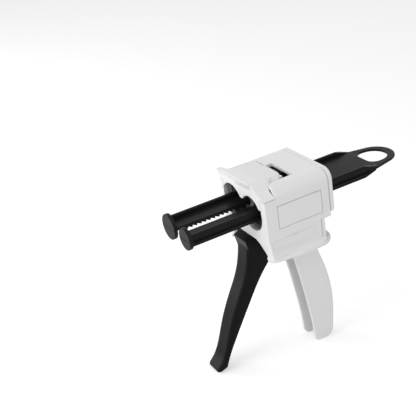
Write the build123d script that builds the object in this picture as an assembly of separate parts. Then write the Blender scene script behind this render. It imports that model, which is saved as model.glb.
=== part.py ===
"""Hand-held gun that presses two-part impression paste out of a twin-barrel cartridge.

Frame: +X points forward along the two plungers, +Y is the gun's left side, +Z is up.
The origin lies on the front face, midway between the two barrel axes.
All lengths are in millimetres. Every piece is written to its own file in parts/.
"""
import math
import os

from build123d import *

# Barrels and cartridge seat
ROD_SPACING = 25.0            # distance between the two plunger axes
BARREL_RADIUS = 13.0          # opening round one cartridge barrel
BARREL_SPACING = 26.0         # distance between the two lower opening centres
LATCH_FAR_ARC = (-14.2, 14.4)  # centre Y and radius of the latch's arc over the larger barrel
LATCH_NEAR_ARC = (11.6, 13.0)
LATCH_TIP_Z = 7.9             # lowest point of the latch between the barrels
CRADLE_POST_Z = -7.9          # highest point of the plate between the barrels

# Housing
BODY_WIDTH = 62.5
BODY_LENGTH = 54.0
ROOF_Z = 21.0
ROOF_EDGE_RADIUS = 8.0
WALL = 2.4
FRONT_PLATE = 3.0
FLANGE_SLOT = 5.0             # gap that takes the cartridge's rear flange
FRONT_PLATE_BOTTOM_Z = -20.5
FRONT_CORNER_RADIUS = 8.0     # rounded lower corners of the upright front face
GUIDE_COUNTERBORE = 2.9       # the discs draw back into this depth
GUIDE_WALL = 2.3
GUIDE_BOTTOM_Z = -16.4
GUIDE_TOP_Z = 13.5
SLOT_FLOOR_Z = -14.6
LOWER_STEP_X = -45.2          # the lower rear of the body stands this far forward
LOWER_STEP_Z = -14.7
SADDLE_BOTTOM_Z = -36.0       # underside of the hand rest
SADDLE_THICKNESS = 4.6
SADDLE_PROUD = 2.9            # the hand rest stands this far out from the sides
SADDLE_REAR_X = -56.2
SADDLE_CORNER_RADIUS = 13.0
SADDLE_FRONT_X = -1.0
SADDLE_FRONT_RADIUS = 6.25
SADDLE_FULL_X = -24.0         # behind this the hand rest has its full width
# one side of the lever's mouth, Y and Z
MOUTH_EDGE = ((13.6, FRONT_PLATE_BOTTOM_Z), (17.8, -23.2), (21.4, -27.7), (27.4, -37.0))
MOUTH_DEPTH = 12.0
LEVER_BAY_REAR_X = -30.5
LEVER_BAY_HALF = 11.0
SLOT_REAR_X = -33.7           # roof slot behind the latch
SLOT_NEAR_Y = 18.0
SLOT_FAR_Y = -9.2
PANEL_PROUD = 0.4             # plain raised panel on each side
PANEL_LINE = 0.6              # groove round the panel, width and depth
PANEL_X = (-47.0, -10.7)
PANEL_Z = (-9.2, 7.8)
STRIP_X = (-38.6, -2.1)       # thin frame below the panel
STRIP_Z = (-25.0, -17.4)
STRIP_LINE = 0.7

# Rear cover
COVER_THICKNESS = 4.0
COVER_PROUD = 0.35
COVER_GROOVE = 0.5            # open line between the body and the cover
COVER_GROOVE_DEPTH = 0.9
COVER_BOTTOM_Z = -13.6
COVER_CORNER_RADIUS = 5.0
COVER_SPIGOT = 3.0
SKIRT_THICKNESS = 3.2
SKIRT_BOTTOM_Z = -28.7
SKIRT_TONGUE_Z = -31.1        # the middle of the skirt reaches down to the hand rest

# Plunger
PLUNGER_FRONT_X = 54.7
DISC_THICKNESS = 2.7
DISC_LARGE_RADIUS = 9.75
DISC_SMALL_RADIUS = 8.25
DISC_SPIGOT_RADIUS = 1.5
DISC_SPIGOT_LENGTH = 1.8
ROD_NOSE_LENGTH = 2.2         # thicker end of the web that takes a disc's spigot
ROD_NOSE_HALF = (2.6, 2.3)
DISC_LINE_WIDTH = 0.5
ROD_LARGE_OUTER = 8.3         # outer face of the large rod, from its axis
ROD_SMALL_OUTER = 6.8
ROD_HALF_HEIGHT = 4.5
ROD_WALL = 3.2
ROD_GROOVE_DEPTH = 1.2
ROD_GROOVE_Z = (-1.5, 1.0)
WEB_HALF = 1.2
WEB_INNER_Y = 4.6
RACK_WIDTH = 2.6
RACK_PITCH = 3.7
RACK_DEPTH = 1.4
RACK_TEETH = 30
RACK_FRONT_X = 46.5
DECK_FRONT_X = -54.0
DECK_TOP_Z = 2.0
DECK_PANEL_HALF = 12.9
DECK_PANEL_PROUD = 0.3
RAIL_RISE = 1.1               # the deck's side rails stand this much higher than the rods' walls
RAIL_END_X = -96.0
RAIL_TAPER = 13.0
RAIL_EDGE_RADIUS = 1.4
RING_CENTRE_X = -119.0
RING_OUTER_RADIUS = 16.0
RING_TAPER_ANGLE = 14.0       # degrees between the plate's side and the X axis
RING_LOW_Z = 0.2
RING_HOLE_FRONT_X = -108.6
RING_HOLE_FLAT_HALF = 6.2
RING_HOLE_CENTRE_X = -117.5
RING_HOLE_RADIUS = 11.6
RIDGE_X = -106.6

# Trigger lever
PIVOT = (-23.0, -15.0)        # lever pin, X and Z
PIVOT_PIN_RADIUS = 2.5
PIVOT_BOSS_RADIUS = 4.6
LEVER_HALF = 8.5
LEVER_SIDE_WALL = 2.4
LEVER_FRONT_WALL = 3.0
LEVER_EDGE_RADIUS = 2.8
LEVER_RIB = 1.6
LEVER_RIB_Z = (-60.0, -75.0, -90.0)

# side lines of the lever from top to foot, X and Z: front, rear and inside of the front wall
LEVER_FRONT_LINE = ((4.9, -29.3), (5.7, -35.0), (7.2, -42.4), (11.2, -54.3), (17.8, -67.0), (25.6, -82.8),
                    (31.1, -97.0), (37.1, -111.6), (43.8, -119.8))
LEVER_REAR_LINE = ((-10.8, -45.5), (-0.3, -57.9), (8.7, -71.5), (25.9, -99.2), (33.8, -113.6), (36.0, -118.8))
LEVER_INNER_LINE = ((1.9, -31.0), (3.8, -41.0), (7.6, -53.5), (14.3, -67.0), (21.9, -82.8), (26.7, -95.0))
LEVER_TOE = (44.1, -122.3)
LEVER_SOLE = ((41.9, -123.1), (38.6, -122.2))
LEVER_HEEL = (37.0, -120.8)

# Drive pawl, on the lever
PAWL_PIN = (-30.0, -8.7)
PAWL_PIN_RADIUS = 1.5
PAWL_HUB_RADIUS = 2.8
PAWL_TIP = (-20.5, -3.3)
PAWL_TIP_HALF = 7.4
PAWL_EAR_RADIUS = 2.9

# Release lever at the rear
RELEASE_PIN = (-41.9, -26.0)
RELEASE_PIN_RADIUS = 1.5
RELEASE_HUB_RADIUS = 3.0
RELEASE_TIP = (-37.0, -3.2)
RELEASE_HALF = 9.0
RELEASE_TAB_REAR_X = -53.0

# Latch
LATCH_PIN = (-24.0, 19.2)
LATCH_PIN_RADIUS = 1.2
LATCH_PIN_Y = (-10.6, 25.0)
LATCH_LUG_RADIUS = 1.9
LATCH_LUG_Y = (-6.4, -3.2)
LATCH_NEAR_LUG_Y = (17.2, 25.5)
LATCH_BEAM_Z = (12.2, 15.6)   # bar across the housing that carries the latch's far lug
LATCH_REAR_SEAM = 0.85        # wider gap, so the rear edge can dip as the latch lifts
LATCH_TOP_Z = 23.8
LATCH_TOP_DROP = (-7.0, 1.7)   # behind this X the top slopes down, by this much at the rear edge
LATCH_REAR_X = -27.0
LATCH_FLAP_REAR_X = -9.7
LATCH_CORNER = (-19.5, -21.0)  # X and Y where the latch's far corner starts to widen
LATCH_SEAM_Z = 14.4
LATCH_TONGUE_Z = 6.5
LATCH_LIP = 1.7
LATCH_LIP_EDGE = 0.9          # height of the lip's upright front edge
LATCH_LIP_LOW = (18.9, 20.3, 17.2, 18.7)  # lower ends of the far and the deeper near part
LATCH_LIP_STEP_Y = -6.0
LATCH_FAR_RIM_X = -2.5        # only this thin rim carries the far slope
LATCH_NEAR_SLOPE_Y = 14.7
LATCH_FAR_SLOPE_Y = -19.0
LATCH_FAR_EDGE_Z = 21.7
LATCH_EAR_RADIUS = 2.6
LATCH_EARS_Y = ((-10.4, -7.0), (-2.6, 0.4), (12.6, 15.6))

# Handle
HANDLE_HALF = 9.0
HANDLE_WALL = 2.2
HANDLE_BACK = 2.6
HANDLE_FLOOR_Z = -134.5
HANDLE_FLOOR = 4.0
HANDLE_LIP = 1.2              # the floor inside starts this far behind the sole's front edge
# side lines of the handle, X and Z: front from top to foot, rear from foot to top
HANDLE_FRONT_LINE = ((-33.0, -53.0), (-36.8, -73.0), (-40.2, -95.0), (-42.6, -112.0), (-43.7, -128.0))
HANDLE_REAR_LINE = ((-62.1, -128.0), (-63.4, -117.0), (-64.5, -100.0), (-63.2, -84.0), (-59.9, -68.8), (-54.8, -52.5))
HANDLE_TOP_X = (-30.6, -50.2)
HANDLE_SOLE_X = (-48.8, -55.5)
HANDLE_TOE_X = (-45.1, -60.0)  # middles of the round ends of the foot
HANDLE_TOE_RISE = 2.0
HANDLE_EDGE_RADIUS = 3.0

# Springs
LEVER_WIRE = 1.0
LEVER_COIL_RADIUS = 5.5
LEVER_COIL_TURNS = 4
LEVER_COIL_PITCH = 1.8
PAWL_WIRE = 0.5
PAWL_COIL_TURNS = 2
PAWL_COIL_PITCH = 1.0
RELEASE_WIRE = 0.6
RELEASE_COIL_RADIUS = 2.3
RELEASE_COIL_TURNS = 3
RELEASE_COIL_PITCH = 1.2
RELEASE_COIL_Z = -19.5
RELEASE_POST_X = (-33.9, -31.9)
BRAKE_LEAF = 0.5
BRAKE_LEAF_Y = (9.3, 14.5)    # strip under each rod's web, distance from the middle
BRAKE_LEAF_REAR_X = -22.0

# Clearances
PIN_FIT = 0.05                # moving pin in its hole, on the radius
HOLD_FIT = 0.02               # pin in the walls that hold it, on the radius
GAP = 0.3                     # between pieces that move
SEAM = 0.35                   # visible seam round the latch
SLIDE_GAP = 0.4               # rods in their guides
GUIDE_FIT = 0.05              # guide block between the housing's walls
OVERLAP = 0.2                 # how far fused shapes reach into each other
REACH = 300.0                 # longer than any piece, for shapes that cut right past one

half_body = BODY_WIDTH / 2
rod_y = ROD_SPACING / 2
barrel_y = BARREL_SPACING / 2
slot_rear_x = -FRONT_PLATE - FLANGE_SLOT
bore_floor_x = slot_rear_x - GUIDE_COUNTERBORE
guide_rear_x = bore_floor_x - GUIDE_WALL
body_rear_x = -BODY_LENGTH
cover_rear_x = body_rear_x - COVER_THICKNESS
saddle_top_z = SADDLE_BOTTOM_Z + SADDLE_THICKNESS
rod_front_x = PLUNGER_FRONT_X - DISC_THICKNESS
large_wall_y = -(rod_y + ROD_LARGE_OUTER)
small_wall_y = rod_y + ROD_SMALL_OUTER
rack_tip_z = -WEB_HALF - RACK_DEPTH
wall_inner_y = half_body - WALL
wall_inner_z = ROOF_Z - WALL
bay_half_z = ROD_HALF_HEIGHT + SLIDE_GAP
release_pin_half = RELEASE_HALF + GAP + 3.0
lever_top_z = FRONT_PLATE_BOTTOM_Z - GAP
pivot_pin_end = half_body - 1.3  # the near end stays under a thin skin


def block(x0, x1, y0, y1, z0, z1):
    """Return a box between two corners given axis by axis."""
    size = (abs(x1 - x0), abs(y1 - y0), abs(z1 - z0))
    middle = ((x0 + x1) / 2, (y0 + y1) / 2, (z0 + z1) / 2)
    return Pos(*middle) * Box(*size)


def prism_xz(edges, y0, y1):
    """Extrude a closed side outline, drawn at Y = 0, from y0 to y1."""
    face = make_face(edges)
    return Pos(0, y0, 0) * extrude(face, amount=y1 - y0, dir=(0, 1, 0))


def prism_yz(edges, x0, x1):
    """Extrude a closed front outline, drawn at X = 0, from x0 to x1."""
    face = make_face(edges)
    return Pos(x0, 0, 0) * extrude(face, amount=x1 - x0, dir=(1, 0, 0))


def prism_xy(edges, z0, z1):
    """Extrude a closed plan outline, drawn at Z = 0, from z0 to z1."""
    face = make_face(edges)
    return Pos(0, 0, z0) * extrude(face, amount=z1 - z0, dir=(0, 0, 1))


def side_polygon(points):
    """Return a closed polygon in the XZ plane from (x, z) points."""
    return Polyline(*[(x, 0, z) for x, z in points], close=True)


def front_polygon(points):
    """Return a closed polygon in the YZ plane from (y, z) points."""
    return Polyline(*[(0, y, z) for y, z in points], close=True)


def plan_polygon(points):
    """Return a closed polygon in the XY plane from (x, y) points."""
    return Polyline(*[(x, y, 0) for x, y in points], close=True)


def side_curve(points):
    """Return a smooth curve through (x, z) points."""
    return Spline(*[(x, 0, z) for x, z in points])


def side_line(first, last):
    """Return a straight edge between two (x, z) points."""
    return Line((first[0], 0, first[1]), (last[0], 0, last[1]))


def side_arc(first, middle, last):
    """Return an arc through three (x, z) points."""
    return ThreePointArc(*[(x, 0, z) for x, z in (first, middle, last)])


def rod_x(radius, x0, x1, y=0.0, z=0.0):
    """Return a round bar along X."""
    return Pos((x0 + x1) / 2, y, z) * Rot(0, 90, 0) * Cylinder(radius, abs(x1 - x0))


def rod_y_axis(radius, centre, y0, y1):
    """Return a round bar along Y through an (x, z) centre."""
    return Pos(centre[0], (y0 + y1) / 2, centre[1]) * Rot(90, 0, 0) * Cylinder(radius, abs(y1 - y0))


def one_solid(shape):
    """Return the largest solid of a shape, as one piece."""
    solids = shape.solids()
    return max(solids, key=lambda solid: solid.volume)


def barrel_pair(radius, spacing, x0, x1):
    """Return the two round openings of the cartridge barrels as one tool."""
    return rod_x(radius, x0, x1, spacing / 2) + rod_x(radius, x0, x1, -spacing / 2)


def edges_along_x(shape, y_min, z_test):
    """Return long edges that run along X, outside y_min, whose height passes a test."""
    return [
        edge for edge in shape.edges().filter_by(Axis.X)
        if abs(edge.center().Y) > y_min and z_test(edge.center().Z)
    ]


def roof_block(x0, x1, half, z0, z1, radius):
    """Return a box, even about Y, with its two upper long edges rounded."""
    shape = block(x0, x1, -half, half, z0, z1)
    return fillet(edges_along_x(shape, half - 1, lambda z: z > z1 - 1), radius)


def helix_wire(radius, pitch, turns, start_angle=0.0):
    """Return a helix about Z made of tangent arcs, two for each quarter turn."""
    def point(angle):
        return Vector(radius * math.cos(angle), radius * math.sin(angle), pitch * angle / (2 * math.pi))

    def tangent(angle):
        return Vector(-radius * math.sin(angle), radius * math.cos(angle), pitch / (2 * math.pi)).normalized()

    quarter = math.pi / 2
    base = point(start_angle)
    edges = []
    for step in range(round(turns * 4)):
        angle0 = start_angle + step * quarter
        angle1 = angle0 + quarter
        p0, p1 = point(angle0), point(angle1)
        t0, t1 = tangent(angle0), tangent(angle1)
        chord = p1 - p0
        both = t0 + t1
        square = 2 * (1 - t0.dot(t1))
        along = chord.dot(both)
        reach = (-along + math.sqrt(along * along + square * chord.dot(chord))) / square
        joint = (p0 + p1 + (t0 - t1) * reach) * 0.5
        turn = ((p1 - t1 * reach) - (p0 + t0 * reach)).normalized()
        edges.append(TangentArc(tuple(p0), tuple(joint), tangent=tuple(t0)))
        edges.append(TangentArc(tuple(joint), tuple(p1), tangent=tuple(turn)))
    shift = Pos(0, 0, -base.Z)
    return [shift * edge for edge in edges], tangent(start_angle)


def coil(radius, wire, pitch, turns):
    """Return a wound spring about Z that starts at Z = 0, as one unbroken tube."""
    edges, direction = helix_wire(radius, pitch, turns)
    path = Wire(edges)
    start = path @ 0
    section = Plane(origin=start, z_dir=direction) * Circle(wire / 2)
    tube = sweep(section, path=path)
    print(f"coil gap {pitch - wire:.2f} mm over {turns} turns")
    return tube


def rod_section(axis_y, outer, side):
    """Return one rod's cross-section edges: a web with a grooved outer wall."""
    wall_out = axis_y + side * outer
    wall_in = wall_out - side * ROD_WALL
    groove = wall_out - side * ROD_GROOVE_DEPTH
    inner = side * WEB_INNER_Y
    low, high = ROD_GROOVE_Z
    return front_polygon([
        (inner, WEB_HALF), (wall_in, WEB_HALF), (wall_in, ROD_HALF_HEIGHT), (wall_out, ROD_HALF_HEIGHT),
        (wall_out, high), (groove, high), (groove, low), (wall_out, low), (wall_out, -ROD_HALF_HEIGHT),
        (wall_in, -ROD_HALF_HEIGHT), (wall_in, -WEB_HALF), (inner, -WEB_HALF),
    ])


def rack(side, x_from, x_to):
    """Return the saw teeth under a web's inner edge between two X positions."""
    y0 = side * WEB_INNER_Y
    y1 = side * (WEB_INNER_Y + RACK_WIDTH)
    teeth = None
    for number in range(RACK_TEETH):
        front = RACK_FRONT_X - number * RACK_PITCH
        back = front - RACK_PITCH
        if front > x_from + 0.01 or back < x_to - 0.01:
            continue
        outline = side_polygon([
            (front, -WEB_HALF + OVERLAP), (front, -WEB_HALF), (back + 0.5, rack_tip_z),
            (back + 0.1, rack_tip_z), (back + 0.1, -WEB_HALF), (back + 0.1, -WEB_HALF + OVERLAP),
        ])
        tooth = prism_xz(outline, min(y0, y1), max(y0, y1))
        teeth = tooth if teeth is None else teeth + tooth
    return teeth


def make_rod(axis_y, outer, side):
    """Return one plunger rod with its rack, up to where the deck begins."""
    body = prism_yz(rod_section(axis_y, outer, side), DECK_FRONT_X, rod_front_x)
    top = [
        edge for edge in body.edges().filter_by(Axis.X)
        if abs(abs(edge.center().Z) - ROD_HALF_HEIGHT) < 0.01
    ]
    body = fillet(top, 1.0)
    body = body + rack(side, RACK_FRONT_X, DECK_FRONT_X)
    half_y, half_z = ROD_NOSE_HALF
    nose = block(rod_front_x - ROD_NOSE_LENGTH, rod_front_x, axis_y - half_y, axis_y + half_y, -half_z, half_z)
    hole = rod_x(DISC_SPIGOT_RADIUS + PIN_FIT, rod_front_x - DISC_SPIGOT_LENGTH - GAP, rod_front_x + 1, axis_y)
    return one_solid(body + nose - hole)


def make_disc(axis_y, radius):
    """Return one piston disc with its spigot and the fine line across its face."""
    disc = rod_x(radius, rod_front_x, PLUNGER_FRONT_X, axis_y)
    rims = [edge for edge in disc.edges() if edge.center().X > PLUNGER_FRONT_X - 0.01]
    disc = fillet(rims, 0.4)
    spigot = rod_x(DISC_SPIGOT_RADIUS, rod_front_x - DISC_SPIGOT_LENGTH, rod_front_x + OVERLAP, axis_y)
    line = block(PLUNGER_FRONT_X - 0.35, PLUNGER_FRONT_X + 1, axis_y - radius - 1, axis_y + radius + 1,
                 -DISC_LINE_WIDTH / 2, DISC_LINE_WIDTH / 2)
    return one_solid(disc + spigot - line)


def plate_outline(inset):
    """Return the plan of the rear plate and ring, drawn in by an inset."""
    far, near = large_wall_y + inset, small_wall_y - inset
    radius = RING_OUTER_RADIUS - inset
    tip = RING_CENTRE_X - radius
    lean = math.radians(RING_TAPER_ANGLE)
    side_x = RING_CENTRE_X - radius * math.sin(lean)
    side_y = radius * math.cos(lean)
    far_bend = side_x + (-far - side_y) / math.tan(lean)
    near_bend = side_x + (near - side_y) / math.tan(lean)
    return [
        Line((DECK_FRONT_X, far, 0), (far_bend, far, 0)),
        Line((far_bend, far, 0), (side_x, -side_y, 0)),
        ThreePointArc((side_x, -side_y, 0), (tip, 0, 0), (side_x, side_y, 0)),
        Line((side_x, side_y, 0), (near_bend, near, 0)),
        Line((near_bend, near, 0), (DECK_FRONT_X, near, 0)),
        Line((DECK_FRONT_X, near, 0), (DECK_FRONT_X, far, 0)),
    ]


def ring_hole():
    """Return the finger hole of the pull ring: flat in front, round behind."""
    centre_x = RING_HOLE_CENTRE_X
    radius = RING_HOLE_RADIUS
    front = RING_HOLE_FRONT_X
    flat = RING_HOLE_FLAT_HALF
    corner_x = front - (front - centre_x) * 0.29
    corner_y = flat + (radius - flat) * 0.71
    edges = [
        ThreePointArc((centre_x, -radius, 0), (centre_x - radius, 0, 0), (centre_x, radius, 0)),
        ThreePointArc((centre_x, radius, 0), (corner_x, corner_y, 0), (front, flat, 0)),
        Line((front, flat, 0), (front, -flat, 0)),
        ThreePointArc((front, -flat, 0), (corner_x, -corner_y, 0), (centre_x, -radius, 0)),
    ]
    return prism_xy(edges, -10, 10)


def make_yoke():
    """Return the rear plate that joins the rods and ends in the pull ring."""
    rails = None
    for side, outer, axis_y in ((-1, ROD_LARGE_OUTER, -rod_y), (1, ROD_SMALL_OUTER, rod_y)):
        rail = prism_yz(rod_section(axis_y, outer, side), RAIL_END_X - RAIL_TAPER, DECK_FRONT_X)
        tops = [
            edge for edge in rail.edges().filter_by(Axis.X)
            if abs(edge.center().Z - ROD_HALF_HEIGHT) < 0.01
        ]
        rail = Pos(0, 0, RAIL_RISE) * fillet(tops, RAIL_EDGE_RADIUS)
        rails = rail if rails is None else rails + rail
    top = ROD_HALF_HEIGHT + RAIL_RISE
    low = -ROD_HALF_HEIGHT + RAIL_RISE
    end = RAIL_END_X - RAIL_TAPER
    taper_top = prism_xz(side_polygon([
        (RAIL_END_X, top + 1), (RAIL_END_X, top), (end, DECK_TOP_Z - 0.1), (end - 1, DECK_TOP_Z - 0.1),
        (end - 1, top + 1)]), -REACH, REACH)
    taper_low = prism_xz(side_polygon([
        (RAIL_END_X, low - 1), (RAIL_END_X, low), (end, RING_LOW_Z + 0.1), (end - 1, RING_LOW_Z + 0.1),
        (end - 1, low - 1)]), -REACH, REACH)
    outside = prism_xy(plate_outline(0.0), -REACH, REACH)
    rails = (rails - taper_top - taper_low) & outside
    deck = prism_xy(plate_outline(ROD_GROOVE_DEPTH), -WEB_HALF, DECK_TOP_Z)
    deck = deck - block(-REACH, RIDGE_X, -REACH, REACH, -REACH, RING_LOW_Z)
    ring = prism_xy(plate_outline(0.0), RING_LOW_Z, DECK_TOP_Z)
    ring = ring & block(-REACH, RAIL_END_X - 4, -REACH, REACH, -REACH, REACH)
    ring_edges = [edge for edge in ring.edges() if edge.center().X < RING_CENTRE_X - 8]
    ring = fillet(ring_edges, 0.6)
    panel = block(DECK_FRONT_X, RIDGE_X, -DECK_PANEL_HALF, DECK_PANEL_HALF, DECK_TOP_Z - OVERLAP,
                  DECK_TOP_Z + DECK_PANEL_PROUD)
    teeth = rack(-1, DECK_FRONT_X, -REACH) + rack(1, DECK_FRONT_X, -REACH)
    yoke = deck + ring + rails + panel + teeth - ring_hole()
    return one_solid(yoke)


def lever_outline():
    """Return the trigger lever's side outline, from its pivot to its toe."""
    front, rear = LEVER_FRONT_LINE, LEVER_REAR_LINE[::-1]
    ear = PAWL_EAR_RADIUS
    top = [rear[-1], (-17.4, -34.0), (PIVOT[0] - PIVOT_BOSS_RADIUS - 1.6, PIVOT[1] - 4.0),
           (PAWL_PIN[0] - ear, PAWL_PIN[1] - 1.5)]
    crown = [(PAWL_PIN[0] + ear, PAWL_PIN[1] + 0.6), (-12.0, -18.4),
             (-FRONT_PLATE - 2 * GAP, lever_top_z), (0.5, lever_top_z), (6.2, -23.1), front[0]]
    sole_front, sole_rear = LEVER_SOLE
    edges = [side_curve(front), side_arc(front[-1], LEVER_TOE, sole_front), side_line(sole_front, sole_rear),
             side_arc(sole_rear, LEVER_HEEL, rear[0]), side_curve(rear)]
    edges += [side_line(a, b) for a, b in zip(top, top[1:])]
    edges.append(side_arc(top[-1], (PAWL_PIN[0], PAWL_PIN[1] + ear), crown[0]))
    edges += [side_line(a, b) for a, b in zip(crown, crown[1:])]
    return edges


def lever_hollow():
    """Return the space inside the trigger lever, open to the rear and the top."""
    wall = LEVER_FRONT_WALL
    inner = LEVER_INNER_LINE
    edges = [side_curve(inner)]
    low_x, low_z = inner[-1]
    rest = [inner[-1], (low_x - 6.0, low_z - 2.5), (-REACH, low_z - 2.5), (-REACH, 20.0), (-16.3, 20.0),
            (-16.3, -19.2), (-12.0, -18.0 - wall), (-1.5, -21.0 - wall), (2.6, -23.0 - wall * 0.8), inner[0]]
    edges += [side_line(a, b) for a, b in zip(rest, rest[1:])]
    return prism_xz(edges, -LEVER_HALF + LEVER_SIDE_WALL, LEVER_HALF - LEVER_SIDE_WALL)


def make_trigger_lever():
    """Return the trigger lever: a moulded channel with a pivot tube and ribs."""
    body = prism_xz(lever_outline(), -LEVER_HALF, LEVER_HALF)
    long_edges = [
        edge for edge in body.edges()
        if abs(abs((edge @ 0.5).Y) - LEVER_HALF) < 0.01 and edge.length > 60
    ]
    front_edges = sorted(long_edges, key=lambda edge: (edge @ 0.5).X + 0.55 * (edge @ 0.5).Z)[-2:]
    body = fillet(front_edges, LEVER_EDGE_RADIUS)
    hollow = lever_hollow()
    ribs = None
    for height in LEVER_RIB_Z:
        rib = block(-REACH, REACH, -LEVER_HALF + OVERLAP, LEVER_HALF - OVERLAP,
                    height - LEVER_RIB / 2, height + LEVER_RIB / 2)
        ribs = rib if ribs is None else ribs + rib
    ribs = (ribs & body) - rod_y_axis(30, (-14.0, -50.0), -20, 20)
    tube = rod_y_axis(PIVOT_BOSS_RADIUS, PIVOT, -LEVER_HALF, LEVER_HALF)
    lever = body - hollow + ribs + tube
    lever = lever - rod_y_axis(PIVOT_PIN_RADIUS + PIN_FIT, PIVOT, -20, 20)
    lever = lever - rod_y_axis(PAWL_PIN_RADIUS + PIN_FIT, PAWL_PIN, -20, 20)
    return one_solid(lever)


def make_drive_pawl():
    """Return the pawl that pushes the racks forward, with its hub and wide tip."""
    hub_half = LEVER_HALF - LEVER_SIDE_WALL - GAP
    hub = rod_y_axis(PAWL_HUB_RADIUS, PAWL_PIN, -hub_half, 1.6)
    px, pz = PAWL_PIN
    tx, tz = PAWL_TIP
    arm = prism_xz(side_polygon([
        (px - 1.2, pz + 2.3), (tx - 1.8, tz - 0.7), (tx - 0.8, tz - 0.1), (tx, tz), (tx, tz - 2.4),
        (px + 2.4, pz - 1.2)]),
        -hub_half, 1.6)
    tip = prism_xz(side_polygon([
        (tx - 3.6, tz - 1.9), (tx - 1.8, tz - 0.7), (tx - 0.8, tz - 0.1), (tx, tz), (tx, tz - 2.4),
        (tx - 2.2, tz - 3.6)]),
        -PAWL_TIP_HALF, PAWL_TIP_HALF)
    bore = rod_y_axis(PAWL_PIN_RADIUS + PIN_FIT, PAWL_PIN, -20, 20)
    return one_solid(hub + arm + tip - bore)


def make_release_lever():
    """Return the release lever: a thumb tab, a hub and an arm with a holding tooth."""
    rx, rz = RELEASE_PIN
    tx, tz = RELEASE_TIP
    hub = rod_y_axis(RELEASE_HUB_RADIUS, RELEASE_PIN, -RELEASE_HALF, RELEASE_HALF)
    arm = prism_xz(side_polygon([
        (rx - 1.6, rz), (tx - 3.4, tz - 3.0), (tx - 0.9, tz), (tx, tz), (tx, tz - 3.0), (rx + 2.6, rz)]),
        -PAWL_TIP_HALF, PAWL_TIP_HALF)
    tab_half = RELEASE_HALF
    front = LOWER_STEP_X - SKIRT_THICKNESS
    tab = prism_xz(side_polygon([
        (rx - 1.0, rz - 2.8), (rx - 1.0, rz + 3.4), (front + 2.0, -18.8), (RELEASE_TAB_REAR_X, -18.4),
        (RELEASE_TAB_REAR_X - 0.6, -20.8), (front - 0.6, -23.0), (front - 0.2, rz - 1.2)]), -tab_half, tab_half)
    bore = rod_y_axis(RELEASE_PIN_RADIUS + PIN_FIT, RELEASE_PIN, -20, 20)
    return one_solid(hub + arm + tab - bore)


def make_handle():
    """Return the fixed handle: a channel open to the front, with a floor at its foot."""
    top = SADDLE_BOTTOM_Z
    front = ((HANDLE_TOP_X[0], top),) + HANDLE_FRONT_LINE
    rear = HANDLE_REAR_LINE + ((HANDLE_TOP_X[1], top),)
    foot_z = HANDLE_FLOOR_Z
    sole_front, sole_rear = [(x, foot_z) for x in HANDLE_SOLE_X]
    round_front, round_rear = [(x, foot_z + HANDLE_TOE_RISE) for x in HANDLE_TOE_X]
    edges = [
        side_curve(front),
        side_arc(front[-1], round_front, sole_front),
        side_line(sole_front, sole_rear),
        side_arc(sole_rear, round_rear, rear[0]),
        side_curve(rear),
        side_line(rear[-1], front[0]),
    ]
    body = prism_xz(edges, -HANDLE_HALF, HANDLE_HALF)
    palm = [
        edge for edge in body.edges()
        if abs(abs(edge.center().Y) - HANDLE_HALF) < 0.01 and edge.length > 60 and edge.center().X < -50
    ]
    body = fillet(palm, HANDLE_EDGE_RADIUS)
    inner = [(x + HANDLE_BACK, z) for x, z in rear]
    floor = foot_z + HANDLE_FLOOR
    lip_x = sole_front[0] - HANDLE_LIP
    rest = [inner[-1], (inner[-1][0], top + 5), (0, top + 5), (0, foot_z - 5), (lip_x, foot_z - 5),
            (lip_x - 1.0, floor - 1.0), (lip_x - 4.0, floor), (inner[0][0] + 1.0, floor), inner[0]]
    hollow_edges = [side_curve(inner)] + [side_line(a, b) for a, b in zip(rest, rest[1:])]
    hollow = prism_xz(hollow_edges, -HANDLE_HALF + HANDLE_WALL, HANDLE_HALF - HANDLE_WALL)
    return one_solid(body - hollow)


def latch_slopes():
    """Return the space above the latch's two side slopes and its falling top, to be cut away."""
    near = front_polygon([
        (LATCH_NEAR_SLOPE_Y, LATCH_TOP_Z), (half_body, LATCH_SEAM_Z), (half_body + 5, LATCH_SEAM_Z),
        (half_body + 5, LATCH_TOP_Z + 5), (LATCH_NEAR_SLOPE_Y, LATCH_TOP_Z + 5)])
    far = front_polygon([
        (LATCH_FAR_SLOPE_Y, LATCH_TOP_Z), (-half_body, LATCH_FAR_EDGE_Z), (-half_body - 5, LATCH_FAR_EDGE_Z),
        (-half_body - 5, LATCH_TOP_Z + 5), (LATCH_FAR_SLOPE_Y, LATCH_TOP_Z + 5)])
    bend_x, drop = LATCH_TOP_DROP
    top = prism_xz(side_polygon([
        (bend_x, LATCH_TOP_Z), (LATCH_REAR_X, LATCH_TOP_Z - drop), (LATCH_REAR_X - 5, LATCH_TOP_Z - drop),
        (LATCH_REAR_X - 5, LATCH_TOP_Z + 5), (bend_x, LATCH_TOP_Z + 5)]), -half_body - 5, half_body + 5)
    return prism_yz(near, -40, 10) + prism_yz(far, -40, 10) + top


def latch_plan(grow=0.0, rear_grow=0.0):
    """Return the latch's plan at roof level; the grow values widen it for the housing's seam."""
    out = half_body + 2 if grow else half_body
    rear = LATCH_REAR_X - rear_grow
    corner_x, corner_y = LATCH_CORNER
    return plan_polygon([
        (5.0, -out), (5.0, out), (LATCH_FLAP_REAR_X - grow, out), (LATCH_FLAP_REAR_X - 0.7 - grow, 21.2 + grow * 0.4),
        (-16.9 - grow * 0.5, 16.6 + grow), (-23.3 - grow, 16.6 + grow), (rear + 1.6, 15.2 + grow),
        (rear + 0.2, 12.0 + grow), (rear, 8.0 + grow),
        (rear, corner_y - grow), (corner_x - rear_grow, corner_y - grow), (-16.0 - rear_grow, -half_body - grow),
    ])


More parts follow.
